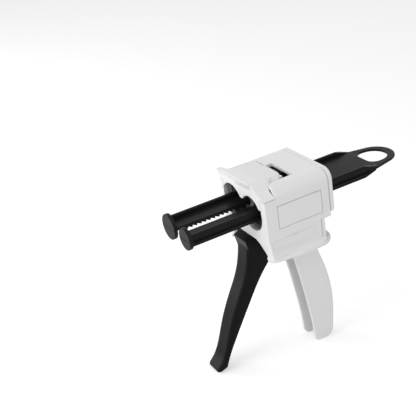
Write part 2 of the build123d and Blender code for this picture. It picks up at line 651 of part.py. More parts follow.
def latch_plateau():
    """Return the raised top of the latch, sloping from roof level to its flat."""
    far = LATCH_FAR_SLOPE_Y
    rear = LATCH_REAR_X
    low = [(0, far - 4.5), (0, 24.5), (-10.2, 21.6), (-16.9, 16.6), (-23.3, 16.6), (rear + 1.6, 15.2),
           (rear + 0.2, 12.0), (rear, 8.0), (rear, -8.0), (-17.5, far - 4.0)]
    high = [(0, far), (0, LATCH_NEAR_SLOPE_Y), (-11.0, 16.4), (-18.5, 13.4), (-22.6, 13.6), (-24.4, 12.9),
            (-25.9, 10.6), (-26.5, 7.0), (-26.5, -6.0), (-13.6, far)]
    lower = make_face(Polyline(*[(x, y, ROOF_Z - 0.6) for x, y in low], close=True))
    upper = make_face(Polyline(*[(x, y, LATCH_TOP_Z) for x, y in high], close=True))
    return loft([lower, upper], ruled=True)


def latch_lip(y0, y1, low0, low1):
    """Return a stretch of the latch's front lip, undercut down to a height given at each end."""
    ends = []
    for y, low in ((y0, low0), (y1, low1)):
        corners = [(-1, LATCH_TOP_Z), (LATCH_LIP, LATCH_TOP_Z), (LATCH_LIP, LATCH_TOP_Z - LATCH_LIP_EDGE),
                   (0, low), (-1, low)]
        ends.append(make_face(Polyline(*[(x, y, z) for x, z in corners], close=True)))
    return loft(ends, ruled=True)


def latch_underside():
    """Return the space under the latch's front, even with its slopes and the roof's round edge."""
    lean = (LATCH_TOP_Z - LATCH_SEAM_Z) / (half_body - LATCH_NEAR_SLOPE_Y)
    top = LATCH_TOP_Z - WALL * math.sqrt(1 + lean * lean)
    low = LATCH_SEAM_Z - 2
    near_low = LATCH_NEAR_SLOPE_Y + (top - low) / lean
    near_high = LATCH_NEAR_SLOPE_Y + (top - wall_inner_z) / lean
    inner = ROOF_EDGE_RADIUS - WALL
    diag = inner * (1 - math.sqrt(0.5))
    return prism_yz(front_polygon([
        (-wall_inner_y, low), (min(near_low, wall_inner_y), low), (near_high, wall_inner_z),
        (-wall_inner_y + inner, wall_inner_z), (-wall_inner_y + diag, wall_inner_z - diag),
        (-wall_inner_y, wall_inner_z - inner)]), -20, -FRONT_PLATE)


def make_latch():
    """Return the cartridge latch that lifts at the front and hinges under the roof slot."""
    roof = roof_block(-60, 5, half_body, 0, ROOF_Z, ROOF_EDGE_RADIUS)
    plate = prism_xy(latch_plan(), wall_inner_z, ROOF_Z) & block(-60, 0, -half_body, half_body, 0, 40) & roof
    flap = block(LATCH_FLAP_REAR_X, 0, -half_body, half_body, LATCH_SEAM_Z, LATCH_TOP_Z)
    behind_rim = block(-40, LATCH_FAR_RIM_X, -half_body - 5, LATCH_FAR_SLOPE_Y, 0, 40) - roof
    flap = flap - behind_rim - latch_underside()
    tongue = block(-FRONT_PLATE, 0, -barrel_y - BARREL_RADIUS + SEAM, barrel_y + BARREL_RADIUS - SEAM,
                   LATCH_TONGUE_Z, LATCH_SEAM_Z + 1)
    far0, far1, near0, near1 = LATCH_LIP_LOW
    lips = latch_lip(-half_body, LATCH_LIP_STEP_Y, far0, far1)
    lips = lips + latch_lip(LATCH_LIP_STEP_Y, LATCH_NEAR_SLOPE_Y, near0, near1)
    shell = plate + flap + tongue + latch_plateau() + lips - latch_slopes()
    for centre_y, radius in (LATCH_FAR_ARC, LATCH_NEAR_ARC):
        shell = shell - (rod_x(radius, -30, 5, centre_y) & block(-30, 5, -40, 40, 0, 40))
    shell = shell - block(-30, 5, -4.5, 4.5, 0, LATCH_TIP_Z)
    hollow_top = LATCH_TOP_Z - LATCH_TOP_DROP[1] - WALL
    shell = shell - block(LATCH_REAR_X + 3, -FRONT_PLATE - 1.5, -17.0, 9.0, wall_inner_z - 5, hollow_top)
    px, pz = LATCH_PIN
    ears = None
    for y0, y1 in LATCH_EARS_Y:
        ear = rod_y_axis(LATCH_EAR_RADIUS, LATCH_PIN, y0, y1)
        ear = ear + block(px - LATCH_EAR_RADIUS, px + LATCH_EAR_RADIUS, y0, y1, pz, ROOF_Z + 0.2)
        ears = ear if ears is None else ears + ear
    ears = ears - block(-40, 10, -40, 40, ROOF_Z + 0.2, 40)
    lug_room = LATCH_LUG_RADIUS + GAP
    pocket = block(LATCH_REAR_X - 2, px + lug_room, LATCH_LUG_Y[0] - GAP, LATCH_LUG_Y[1] + GAP, 10, pz + lug_room)
    shell = shell - pocket
    shell = shell + ears - rod_y_axis(LATCH_PIN_RADIUS + PIN_FIT, LATCH_PIN, -40, 40)
    return one_solid(shell)


def rod_windows(x0, x1, extra):
    """Return the openings that the two rods slide through, with a post between them."""
    far = block(x0, x1, large_wall_y - extra, -WEB_INNER_Y + extra, -bay_half_z, bay_half_z)
    near = block(x0, x1, WEB_INNER_Y - extra, small_wall_y + extra, -bay_half_z, bay_half_z)
    return far + near


def make_plunger_guide():
    """Return the dark block that guides the two rods and takes the discs in its round recesses."""
    width = wall_inner_y - GUIDE_FIT
    body = block(guide_rear_x, slot_rear_x, -width, width, SLOT_FLOOR_Z, GUIDE_TOP_Z)
    bores = barrel_pair(DISC_LARGE_RADIUS + SLIDE_GAP, ROD_SPACING, bore_floor_x, slot_rear_x + 0.1)
    return one_solid(body - bores - rod_windows(guide_rear_x - 0.1, bore_floor_x + 0.1, SLIDE_GAP))


def lever_mouth():
    """Return the space of the lever's mouth, wider towards its foot."""
    far_side = [(-y, z) for y, z in reversed(MOUTH_EDGE)]
    return prism_yz(front_polygon(list(MOUTH_EDGE) + far_side), -MOUTH_DEPTH, 5)


def nose_outline(x, half, bottom, radius):
    """Return a face across X: upright sides, a flat bottom and two round lower corners."""
    diag = radius * (1 - math.sqrt(0.5))
    return make_face([
        Line((x, half, 40), (x, half, bottom + radius)),
        ThreePointArc((x, half, bottom + radius), (x, half - diag, bottom + diag), (x, half - radius, bottom)),
        Line((x, half - radius, bottom), (x, -half + radius, bottom)),
        ThreePointArc((x, -half + radius, bottom), (x, -half + diag, bottom + diag), (x, -half, bottom + radius)),
        Line((x, -half, bottom + radius), (x, -half, 40)),
        Line((x, -half, 40), (x, half, 40)),
    ])


def body_block():
    """Return the outside of the body: round roof edges, and a front that leans back below its upright face."""
    body = roof_block(body_rear_x, 0, half_body, saddle_top_z - 1, ROOF_Z, ROOF_EDGE_RADIUS)
    body = body - block(body_rear_x - 5, LOWER_STEP_X, -40, 40, SADDLE_BOTTOM_Z - 5, LOWER_STEP_Z)
    front_rim = [edge for edge in body.edges() if edge.center().X > -0.01 and abs(edge.center().Y) > 20]
    body = fillet(front_rim, 1.2)
    lean = loft([
        nose_outline(-FRONT_PLATE, half_body + 0.3, SADDLE_BOTTOM_Z, FRONT_CORNER_RADIUS + 1),
        nose_outline(0, half_body + 0.01, FRONT_PLATE_BOTTOM_Z, FRONT_CORNER_RADIUS)], ruled=True)
    return body & (lean + block(body_rear_x - 5, -FRONT_PLATE, -40, 40, -60, 40))


def latch_hinge_carrier():
    """Return the bar across the housing with the round lug that holds the latch's pin."""
    px, pz = LATCH_PIN
    low, high = LATCH_BEAM_Z
    near = LATCH_LUG_Y[1]
    bar = block(px - LATCH_LUG_RADIUS, px + LATCH_LUG_RADIUS, -wall_inner_y - OVERLAP, near, low, high)
    stem = block(px - LATCH_LUG_RADIUS, px + LATCH_LUG_RADIUS, LATCH_LUG_Y[0], near, low, pz)
    return bar + stem + rod_y_axis(LATCH_LUG_RADIUS, LATCH_PIN, *LATCH_LUG_Y)


def side_reliefs(side):
    """Return what one side gains and loses: a raised panel in a groove, and a thin frame below it."""
    face = side * half_body
    y0, y1 = sorted((face - side * (PANEL_LINE + OVERLAP), face + side * PANEL_PROUD))
    panel = block(*PANEL_X, y0, y1, *PANEL_Z)
    g0, g1 = sorted((face - side * PANEL_LINE, face + side))
    groove = block(PANEL_X[0] - PANEL_LINE, PANEL_X[1] + PANEL_LINE, g0, g1,
                   PANEL_Z[0] - PANEL_LINE, PANEL_Z[1] + PANEL_LINE)
    y2, y3 = sorted((face - side * OVERLAP, face + side * PANEL_PROUD * 0.6))
    frame = block(*STRIP_X, y2, y3, *STRIP_Z)
    frame = frame - block(STRIP_X[0] + STRIP_LINE, STRIP_X[1] - STRIP_LINE, y2 - 1, y3 + 1,
                          STRIP_Z[0] + STRIP_LINE, STRIP_Z[1] - STRIP_LINE)
    frame = frame - rod_y_axis(PIVOT_PIN_RADIUS + 0.9, PIVOT, -40, 40)
    return panel + frame, groove


def make_housing():
    """Return the main body: front plate, cartridge slot, walls and hand rest."""
    body = body_block()
    rear = roof_block(body_rear_x - 5, guide_rear_x, wall_inner_y, -26.0, wall_inner_z, ROOF_EDGE_RADIUS - WALL)
    seat = roof_block(guide_rear_x - 0.1, -FRONT_PLATE, wall_inner_y, SLOT_FLOOR_Z, wall_inner_z,
                      ROOF_EDGE_RADIUS - WALL)
    bay_plan = plan_polygon([
        (LOWER_STEP_X - 5, -wall_inner_y), (-12.0, -wall_inner_y), (-7.2, -26.8), (-4.2, -23.5), (-FRONT_PLATE, -19.0),
        (-FRONT_PLATE, 19.0), (-4.2, 23.5), (-7.2, 26.8), (-12.0, wall_inner_y), (LOWER_STEP_X - 5, wall_inner_y)])
    lower_bay = prism_xy(bay_plan, saddle_top_z - 0.6, GUIDE_BOTTOM_Z)
    body = body - rear - seat - lower_bay
    body = body - block(LOWER_STEP_X - 5, -FRONT_PLATE, -LEVER_BAY_HALF, LEVER_BAY_HALF, -60, -16)
    for side in (-1, 1):
        y0, y1 = sorted((side * (wall_inner_y - 1.2), side * (wall_inner_y + OVERLAP)))
        body = body + block(guide_rear_x - 1.5, guide_rear_x, y0, y1, SLOT_FLOOR_Z + 2, GUIDE_TOP_Z - 3)

    lobes = barrel_pair(BARREL_RADIUS, BARREL_SPACING, -FRONT_PLATE - 0.1, 5)
    upper = block(-FRONT_PLATE - 0.1, 5, -barrel_y - BARREL_RADIUS, barrel_y + BARREL_RADIUS, 0, 40)
    neck = block(-FRONT_PLATE - 0.1, 5, -6, 6, CRADLE_POST_Z, 1)
    body = body - lobes - upper - neck - lever_mouth()

    latch_room = prism_xy(latch_plan(SEAM, LATCH_REAR_SEAM), wall_inner_z - SEAM, 40)
    flap_room = block(LATCH_FLAP_REAR_X - SEAM, 5, -40, 40, LATCH_SEAM_Z - SEAM, 40)
    roof_slot = block(SLOT_REAR_X, LATCH_REAR_X + 5, SLOT_FAR_Y, SLOT_NEAR_Y, 10, 40)
    px, pz = LATCH_PIN
    body = body + block(px - 3.2, px + 3.2, *LATCH_NEAR_LUG_Y, pz - 4.0, ROOF_Z - 1)
    body = body - latch_room - flap_room - roof_slot + latch_hinge_carrier()
    body = body - rod_y_axis(LATCH_PIN_RADIUS + HOLD_FIT, LATCH_PIN, *LATCH_PIN_Y)

    for side in (-1, 1):
        y0, y1 = sorted((side * (LEVER_HALF + GAP), side * (half_body - WALL / 2)))
        boss = rod_y_axis(PIVOT_BOSS_RADIUS, PIVOT, y0, y1)
        rib = block(PIVOT[0] - 1.0, PIVOT[0] + 1.0, y0, y1, PIVOT[1] - 8.0, PIVOT[1])
        body = body + boss + rib
    mark = rod_y_axis(PIVOT_PIN_RADIUS + 0.45, PIVOT, half_body - 0.3, 40)
    mark = mark - rod_y_axis(PIVOT_PIN_RADIUS, PIVOT, 0, 40) - block(-60, 0, 0, 40, PIVOT[1] - 0.9, 0)

    body = body + saddle()
    body = body - block(LEVER_BAY_REAR_X, 5, -LEVER_BAY_HALF, LEVER_BAY_HALF, -60, FRONT_PLATE_BOTTOM_Z)
    body = body - block(LEVER_BAY_REAR_X, -FRONT_PLATE, -LEVER_BAY_HALF, LEVER_BAY_HALF, -60, GUIDE_BOTTOM_Z)

    for side in (-1, 1):
        y0, y1 = sorted((side * (RELEASE_HALF + GAP), side * (RELEASE_HALF + GAP + 3.0)))
        ear = rod_y_axis(RELEASE_HUB_RADIUS, RELEASE_PIN, y0, y1)
        foot = block(RELEASE_PIN[0] - 2.5, RELEASE_PIN[0] + RELEASE_HUB_RADIUS, y0, y1, saddle_top_z - 1, RELEASE_PIN[1])
        body = body + ear + foot
    body = body - rod_y_axis(RELEASE_PIN_RADIUS + HOLD_FIT, RELEASE_PIN, -RELEASE_HALF - 4, RELEASE_HALF + 4)
    body = body + block(*RELEASE_POST_X, -4.5, 4.5, saddle_top_z - 1, RELEASE_COIL_Z + 4.0)

    for side in (-1, 1):
        gain, loss = side_reliefs(side)
        body = body - loss + gain
    body = body - mark - rod_y_axis(PIVOT_PIN_RADIUS + HOLD_FIT, PIVOT, -40, pivot_pin_end + 0.1)
    return one_solid(body)


def flare_section(x, side, proud, height):
    """Return the hollow-curved flare between one side wall and the hand rest, as a face across X."""
    top = saddle_top_z - 0.2
    inner, wall, outer = side * (half_body - 0.4), side * half_body, side * (half_body + proud)
    middle = (x, wall + side * proud * 0.3, top + height * 0.3)
    return make_face([
        Line((x, inner, top), (x, inner, top + height)),
        Line((x, inner, top + height), (x, wall, top + height)),
        ThreePointArc((x, wall, top + height), middle, (x, outer, top)),
        Line((x, outer, top), (x, inner, top)),
    ])


def saddle():
    """Return the hand rest round the bottom of the body, with the flare above it."""
    out = half_body + SADDLE_PROUD
    radius = SADDLE_CORNER_RADIUS
    rear = SADDLE_REAR_X
    diag = radius * (1 - math.sqrt(0.5))
    front, turn = SADDLE_FRONT_X, SADDLE_FRONT_RADIUS
    front_diag = turn * (1 - math.sqrt(0.5))
    edges = [Line((front, -half_body + turn, 0), (front, half_body - turn, 0)),
             Line((rear, out - radius, 0), (rear, -out + radius, 0))]
    for side in (-1, 1):
        wall = side * half_body
        edges += [
            ThreePointArc((front, wall - side * turn, 0), (front - front_diag, wall - side * front_diag, 0),
                          (front - turn, wall, 0)),
            Line((front - turn, wall, 0), (SADDLE_FULL_X, side * out, 0)),
            Line((SADDLE_FULL_X, side * out, 0), (rear + radius, side * out, 0)),
            ThreePointArc((rear + radius, side * out, 0), (rear + diag, side * (out - diag), 0),
                          (rear, side * (out - radius), 0)),
        ]
    rest = prism_xy(edges, SADDLE_BOTTOM_Z, saddle_top_z)
    for height in (saddle_top_z, SADDLE_BOTTOM_Z):
        rims = [
            edge for edge in rest.edges()
            if abs(edge.center().Z - height) < 0.01 and edge.center().X < front - 0.1
        ]
        rest = fillet(rims, 1.9)
    for side in (-1, 1):
        proud = SADDLE_PROUD - 1.0
        flare = loft([
            flare_section(LOWER_STEP_X - SKIRT_THICKNESS, side, proud, 2.8),
            flare_section(SADDLE_FULL_X, side, proud, 2.8)], ruled=True)
        flare = flare + loft([
            flare_section(SADDLE_FULL_X, side, proud, 2.8),
            flare_section(front - turn, side, 0.2, 0.4)], ruled=True)
        rest = rest + flare
    return rest - lever_mouth()


def make_rear_cover():
    """Return the rear cover: rim plate with the plunger window, spigot and lower skirt."""
    out = half_body + COVER_PROUD
    top = ROOF_Z + COVER_PROUD
    plate = roof_block(cover_rear_x, body_rear_x - COVER_GROOVE, out, COVER_BOTTOM_Z, top,
                       ROOF_EDGE_RADIUS + COVER_PROUD)
    plate = fillet(edges_along_x(plate, out - 1, lambda z: z < 0), COVER_CORNER_RADIUS)
    rear_rim = [edge for edge in plate.edges() if abs(edge.center().X - cover_rear_x) < 0.01]
    plate = fillet(rear_rim, 1.2)
    depth = COVER_GROOVE_DEPTH
    neck = roof_block(body_rear_x - COVER_GROOVE - OVERLAP, body_rear_x, half_body - depth, COVER_BOTTOM_Z + depth,
                      ROOF_Z - depth, ROOF_EDGE_RADIUS - depth)
    neck = neck & block(body_rear_x - 5, 0, -half_body + COVER_CORNER_RADIUS, half_body - COVER_CORNER_RADIUS, -40, 40)
    inset = WALL + GAP / 2
    spigot = roof_block(body_rear_x - OVERLAP, body_rear_x + COVER_SPIGOT, half_body - inset, COVER_BOTTOM_Z + 1.5,
                        ROOF_Z - inset, ROOF_EDGE_RADIUS - WALL)
    hollow = block(body_rear_x, body_rear_x + COVER_SPIGOT + 1, -half_body + inset + 1.8, half_body - inset - 1.8,
                   COVER_BOTTOM_Z + 3.3, ROOF_Z - inset - 1.8)
    skirt_front = LOWER_STEP_X - 0.05
    skirt = block(LOWER_STEP_X - SKIRT_THICKNESS, LOWER_STEP_X - COVER_GROOVE, -half_body, half_body, SKIRT_BOTTOM_Z,
                  LOWER_STEP_Z - 0.05)
    skirt = skirt + block(LOWER_STEP_X - SKIRT_THICKNESS, skirt_front, -half_body + depth, half_body - depth,
                          SKIRT_BOTTOM_Z, LOWER_STEP_Z - 0.05)
    skirt = skirt + block(LOWER_STEP_X - SKIRT_THICKNESS, skirt_front, -wall_inner_y + GAP, wall_inner_y - GAP,
                          SKIRT_TONGUE_Z, SKIRT_BOTTOM_Z + 1)
    bridge = block(body_rear_x - 1.0, skirt_front, -half_body + 1.0, half_body - 1.0, LOWER_STEP_Z - 0.9,
                   LOWER_STEP_Z - 0.05)
    link = block(body_rear_x - 1.0, body_rear_x - 0.05, -half_body + 6, half_body - 6, LOWER_STEP_Z - 0.9,
                 COVER_BOTTOM_Z + 1)
    window = block(cover_rear_x - 1, body_rear_x + 1, large_wall_y - SLIDE_GAP, small_wall_y + SLIDE_GAP,
                   -bay_half_z, bay_half_z + RAIL_RISE)
    tab_room = block(LOWER_STEP_X - SKIRT_THICKNESS - 1, LOWER_STEP_X + 1, -RELEASE_HALF - GAP, RELEASE_HALF + GAP,
                     SKIRT_TONGUE_Z - 1, LOWER_STEP_Z - 1.4)
    cover = plate + neck + (spigot - hollow) + skirt + bridge + link - window - tab_room
    return one_solid(cover)


def make_pin(centre, radius, y0, y1):
    """Return a plain pin along Y with small chamfers at both ends."""
    pin = rod_y_axis(radius, centre, y0, y1)
    return chamfer(pin.edges().filter_by(GeomType.CIRCLE), 0.3)


def make_lever_spring():
    """Return the torsion spring that swings the trigger lever forward."""
    length = LEVER_COIL_PITCH * LEVER_COIL_TURNS
    tube = coil(LEVER_COIL_RADIUS, LEVER_WIRE, LEVER_COIL_PITCH, LEVER_COIL_TURNS)
    placed = Pos(PIVOT[0], length / 2, PIVOT[1]) * Rot(90, 0, 0) * tube
    return one_solid(placed)


def make_pawl_spring():
    """Return the small coil beside the pawl's hub that keeps its tip up."""
    tube = coil(PAWL_PIN_RADIUS + PAWL_WIRE / 2 + 0.3, PAWL_WIRE, PAWL_COIL_PITCH, PAWL_COIL_TURNS)
    return one_solid(Pos(PAWL_PIN[0], 4.8, PAWL_PIN[1]) * Rot(90, 0, 0) * tube)


def make_release_spring():
    """Return the compression spring that pushes the holding tooth up."""
    tube = coil(RELEASE_COIL_RADIUS, RELEASE_WIRE, RELEASE_COIL_PITCH, RELEASE_COIL_TURNS)
    seat = RELEASE_POST_X[0] - RELEASE_WIRE / 2 - 0.1
    return one_solid(Pos(seat, 0, RELEASE_COIL_Z) * Rot(0, -90, 0) * tube)


def make_brake_leaf(side):
    """Return the thin bent strip that rubs under one rod's web, clipped to the guide."""
    top = -WEB_HALF - GAP
    rear = BRAKE_LEAF_REAR_X
    front = guide_rear_x
    outline = side_polygon([
        (front, -9.0), (front, top - 2.4), (front - 1.6, top - 1.4), (rear + 3.0, top), (rear, top - 0.8),
        (rear, top - 0.8 - BRAKE_LEAF), (rear + 3.0, top - BRAKE_LEAF), (front - 1.9, top - 1.4 - BRAKE_LEAF),
        (front - BRAKE_LEAF, top - 2.6), (front - BRAKE_LEAF, -9.0)])
    y0, y1 = sorted((side * BRAKE_LEAF_Y[0], side * BRAKE_LEAF_Y[1]))
    return prism_xz(outline, y0, y1)


def build_pieces():
    """Return every piece by name."""
    return {
        "housing": make_housing(),
        "plunger_guide": make_plunger_guide(),
        "rear_cover": make_rear_cover(),
        "handle": make_handle(),
        "lever_pivot_pin": make_pin(PIVOT, PIVOT_PIN_RADIUS, 0.35 - half_body, pivot_pin_end),
        "latch_hinge_pin": make_pin(LATCH_PIN, LATCH_PIN_RADIUS, LATCH_PIN_Y[0] + 0.2, LATCH_PIN_Y[1] - 0.2),
        "release_hinge_pin": make_pin(RELEASE_PIN, RELEASE_PIN_RADIUS, -release_pin_half, release_pin_half),
        "cartridge_latch": make_latch(),
        "trigger_lever": make_trigger_lever(),
        "pawl_pin": make_pin(PAWL_PIN, PAWL_PIN_RADIUS, -LEVER_HALF, LEVER_HALF),
        "drive_pawl": make_drive_pawl(),
        "release_lever": make_release_lever(),
        "plunger_yoke": make_yoke(),
        "plunger_rod_large": make_rod(-rod_y, ROD_LARGE_OUTER, -1),
        "plunger_rod_small": make_rod(rod_y, ROD_SMALL_OUTER, 1),
        "piston_disc_large": make_disc(-rod_y, DISC_LARGE_RADIUS),
        "piston_disc_small": make_disc(rod_y, DISC_SMALL_RADIUS),
        "lever_spring": make_lever_spring(),
        "pawl_spring": make_pawl_spring(),
        "release_spring": make_release_spring(),
        "brake_leaf_large": make_brake_leaf(-1),
        "brake_leaf_small": make_brake_leaf(1),
    }


os.makedirs("parts", exist_ok=True)
for name, piece in build_pieces().items():
    export_step(piece, f"parts/{name}.step")
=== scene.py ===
"""Hand-squeezed dispensing gun for twin-barrel cartridges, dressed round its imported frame.

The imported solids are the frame. Each sub-assembly is a class that dresses its own nodes and
rebuilds what repeats: the saw teeth of the two plunger rods and the turns of the springs.
All lengths are in metres, in the frame's own axes: +X forward, +Y to the left, +Z up.
"""

import logging
import math
from dataclasses import dataclass, field
from enum import Enum
from typing import ClassVar

import bmesh
import bpy
from mathutils import Matrix, Vector


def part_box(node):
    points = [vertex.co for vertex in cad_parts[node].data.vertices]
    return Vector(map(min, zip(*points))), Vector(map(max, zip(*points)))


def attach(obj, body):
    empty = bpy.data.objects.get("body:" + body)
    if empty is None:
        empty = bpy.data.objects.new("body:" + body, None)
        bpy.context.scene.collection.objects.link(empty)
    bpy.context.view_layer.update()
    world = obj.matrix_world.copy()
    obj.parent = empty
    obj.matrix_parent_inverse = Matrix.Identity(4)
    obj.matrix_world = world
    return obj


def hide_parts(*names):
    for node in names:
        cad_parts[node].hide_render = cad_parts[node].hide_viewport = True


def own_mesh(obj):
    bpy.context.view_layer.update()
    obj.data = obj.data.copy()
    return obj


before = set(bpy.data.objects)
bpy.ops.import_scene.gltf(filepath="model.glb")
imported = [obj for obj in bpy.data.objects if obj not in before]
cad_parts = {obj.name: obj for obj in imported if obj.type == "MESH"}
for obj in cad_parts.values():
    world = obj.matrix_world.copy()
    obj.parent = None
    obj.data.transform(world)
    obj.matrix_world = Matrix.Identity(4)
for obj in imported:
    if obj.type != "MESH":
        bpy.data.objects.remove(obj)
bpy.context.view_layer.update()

MM = 0.001
SMOOTH_ANGLE = math.radians(32)
COIL_STEPS = 48          # steps in one turn of a wound wire
WIRE_SIDES = 14          # sides of a round wire
STEEPEST_TILT = 0.3      # largest slope, in radians, that the search for the floor tries
TILT_HALVINGS = 40

log = logging.getLogger("dispensing_gun")


class Slot(Enum):
    """Material slots of the record."""

    WHITE_SHELL = "white_shell"
    BLACK_LEVER = "black_lever"
    BLACK_PLUNGER = "black_plunger"
    GREY_DISC = "grey_disc"
    GUIDE_GREY = "guide_grey"
    PAWL_STEEL = "pawl_steel"
    PIN_STEEL = "pin_steel"
    SPRING_STEEL = "spring_steel"


class Body(Enum):
    """Moving bodies of the frame."""

    GUN = "gun_body"
    TRIGGER = "trigger"
    PAWL = "pawl"
    LATCH = "latch"
    RELEASE = "release"
    PLUNGER = "plunger"


class Side(Enum):
    """The two plunger rods, by the sign of their Y."""

    LARGE = -1
    SMALL = 1

    @property
    def word(self) -> str:
        """Ending of the rod's node name."""
        return self.name.lower()


class Turn(Enum):
    """Axis that a coil is wound about, as the turn that brings +Z onto it."""

    ACROSS = Matrix.Rotation(math.radians(90), 4, "X")
    REARWARD = Matrix.Rotation(math.radians(-90), 4, "Y")


def seen_directly(nodes: bpy.types.Nodes, links: bpy.types.NodeLinks) -> bpy.types.NodeSocket:
    """Add nodes that tell rays from the camera, a reflection or a clear surface.

    Args:
        nodes: Nodes of the tree.
        links: Links of the tree.

    Returns:
        A socket that is 1 on such a ray and 0 on any other.
    """
    path = nodes.new("ShaderNodeLightPath")
    first = nodes.new("ShaderNodeMath")
    first.operation = "MAXIMUM"
    links.new(path.outputs["Is Camera Ray"], first.inputs[0])
    links.new(path.outputs["Is Glossy Ray"], first.inputs[1])
    second = nodes.new("ShaderNodeMath")
    second.operation = "MAXIMUM"
    links.new(first.outputs[0], second.inputs[0])
    links.new(path.outputs["Is Transmission Ray"], second.inputs[1])
    return second.outputs[0]


@dataclass(frozen=True)
class MouldedPlastic:
    """Satin moulding with slightly rounded edges, a fine grain and an uneven gloss.

    Attributes:
        slot: Material slot of the record that it stands for.
        colour: Linear base colour.
        roughness: Mean surface roughness.
        specular: Specular level of the clear surface.
        mottle: How far the roughness wanders over a few millimetres.
        grain: Height of the mould's fine texture.
        edge: Radius that sharp edges seem to have.
        mottle_scale: Fineness of the wandering roughness.
        grain_scale: Fineness of the mould's texture.
        grain_strength: Share of the texture's height that bends the light.
        edge_samples: Rays that each point spends on finding sharp edges.
    """

    slot: Slot
    colour: tuple[float, float, float]
    roughness: float
    specular: float = 0.5
    mottle: float = 0.03
    grain: float = 0.010 * MM
    edge: float = 0.30 * MM
    mottle_scale: float = 90.0
    grain_scale: float = 2600.0
    grain_strength: float = 0.25
    edge_samples: int = 6

    def build(self) -> bpy.types.Material:
        """Make the material.

        Returns:
            A node material that reads Object coordinates only.
        """
        material = bpy.data.materials.new(self.slot.value)
        material.use_nodes = True
        nodes, links = material.node_tree.nodes, material.node_tree.links
        shader = nodes["Principled BSDF"]
        shader.inputs["Base Color"].default_value = (*self.colour, 1.0)
        shader.inputs["Specular IOR Level"].default_value = self.specular
        place = nodes.new("ShaderNodeTexCoord")
        cloud = nodes.new("ShaderNodeTexNoise")
        cloud.inputs["Scale"].default_value = self.mottle_scale
        cloud.inputs["Detail"].default_value = 2.0
        links.new(place.outputs["Object"], cloud.inputs["Vector"])
        spread = nodes.new("ShaderNodeMapRange")
        spread.inputs["To Min"].default_value = self.roughness - self.mottle
        spread.inputs["To Max"].default_value = self.roughness + self.mottle
        links.new(cloud.outputs["Fac"], spread.inputs["Value"])
        links.new(spread.outputs["Result"], shader.inputs["Roughness"])
        fine = nodes.new("ShaderNodeTexNoise")
        fine.inputs["Scale"].default_value = self.grain_scale
        fine.inputs["Detail"].default_value = 1.0
        links.new(place.outputs["Object"], fine.inputs["Vector"])
        rounded = nodes.new("ShaderNodeBevel")
        rounded.samples = self.edge_samples
        rounded.inputs["Radius"].default_value = self.edge
        bump = nodes.new("ShaderNodeBump")
        bump.inputs["Strength"].default_value = self.grain_strength
        bump.inputs["Distance"].default_value = self.grain
        links.new(fine.outputs["Fac"], bump.inputs["Height"])
        links.new(rounded.outputs["Normal"], bump.inputs["Normal"])
        links.new(bump.outputs["Normal"], shader.inputs["Normal"])
        return material


@dataclass(frozen=True)
class DrawnSteel:
    """Plain steel with faint lines along one axis, for pins, springs and the pawl.

    Attributes:
        slot: Material slot of the record that it stands for.
        colour: Linear base colour.
        roughness: Mean surface roughness.
        lines: Scale of the drawn lines along each axis.
        spread: How far the roughness wanders along the lines.
    """

    slot: Slot
    colour: tuple[float, float, float]
    roughness: float
    lines: tuple[float, float, float] = (2000.0, 60.0, 2000.0)
    spread: float = 0.06

    def build(self) -> bpy.types.Material:
        """Make the material.

        Returns:
            A metallic node material that reads Object coordinates only.
        """
        material = bpy.data.materials.new(self.slot.value)
        material.use_nodes = True
        nodes, links = material.node_tree.nodes, material.node_tree.links
        shader = nodes["Principled BSDF"]
        shader.inputs["Base Color"].default_value = (*self.colour, 1.0)
        shader.inputs["Metallic"].default_value = 1.0
        place = nodes.new("ShaderNodeTexCoord")
        stretch = nodes.new("ShaderNodeMapping")
        stretch.inputs["Scale"].default_value = self.lines
        lines = nodes.new("ShaderNodeTexNoise")
        lines.inputs["Scale"].default_value = 1.0
        links.new(place.outputs["Object"], stretch.inputs["Vector"])
        links.new(stretch.outputs["Vector"], lines.inputs["Vector"])
        spread = nodes.new("ShaderNodeMapRange")
        spread.inputs["To Min"].default_value = self.roughness - self.spread
        spread.inputs["To Max"].default_value = self.roughness + self.spread
        links.new(lines.outputs["Fac"], spread.inputs["Value"])
        links.new(spread.outputs["Result"], shader.inputs["Roughness"])
        return material


@dataclass(frozen=True)
class StudioFloor:
    """Pale floor that keeps the gun's soft shadow and lies near white for the camera.

    Attributes:
        colour: Linear colour under the lamps.
        lift: Light added for camera, glossy and clear rays alone.
    """

    colour: tuple[float, float, float] = (0.86, 0.86, 0.86)
    lift: float = 0.36

    def build(self) -> bpy.types.Material:
        """Make the material.

        Returns:
            A matte node material with a small glow that lights nothing.
        """
        material = bpy.data.materials.new("studio_floor")
        material.use_nodes = True
        nodes, links = material.node_tree.nodes, material.node_tree.links
        nodes.clear()
        matte = nodes.new("ShaderNodeBsdfDiffuse")
        matte.inputs["Color"].default_value = (*self.colour, 1.0)
        glow = nodes.new("ShaderNodeEmission")
        seen = seen_directly(nodes, links)
        strength = nodes.new("ShaderNodeMath")
        strength.operation = "MULTIPLY"
        strength.inputs[1].default_value = self.lift
        links.new(seen, strength.inputs[0])
        links.new(strength.outputs[0], glow.inputs["Strength"])
        both = nodes.new("ShaderNodeAddShader")
        links.new(matte.outputs[0], both.inputs[0])
        links.new(glow.outputs[0], both.inputs[1])
        output = nodes.new("ShaderNodeOutputMaterial")
        links.new(both.outputs[0], output.inputs["Surface"])
        return material


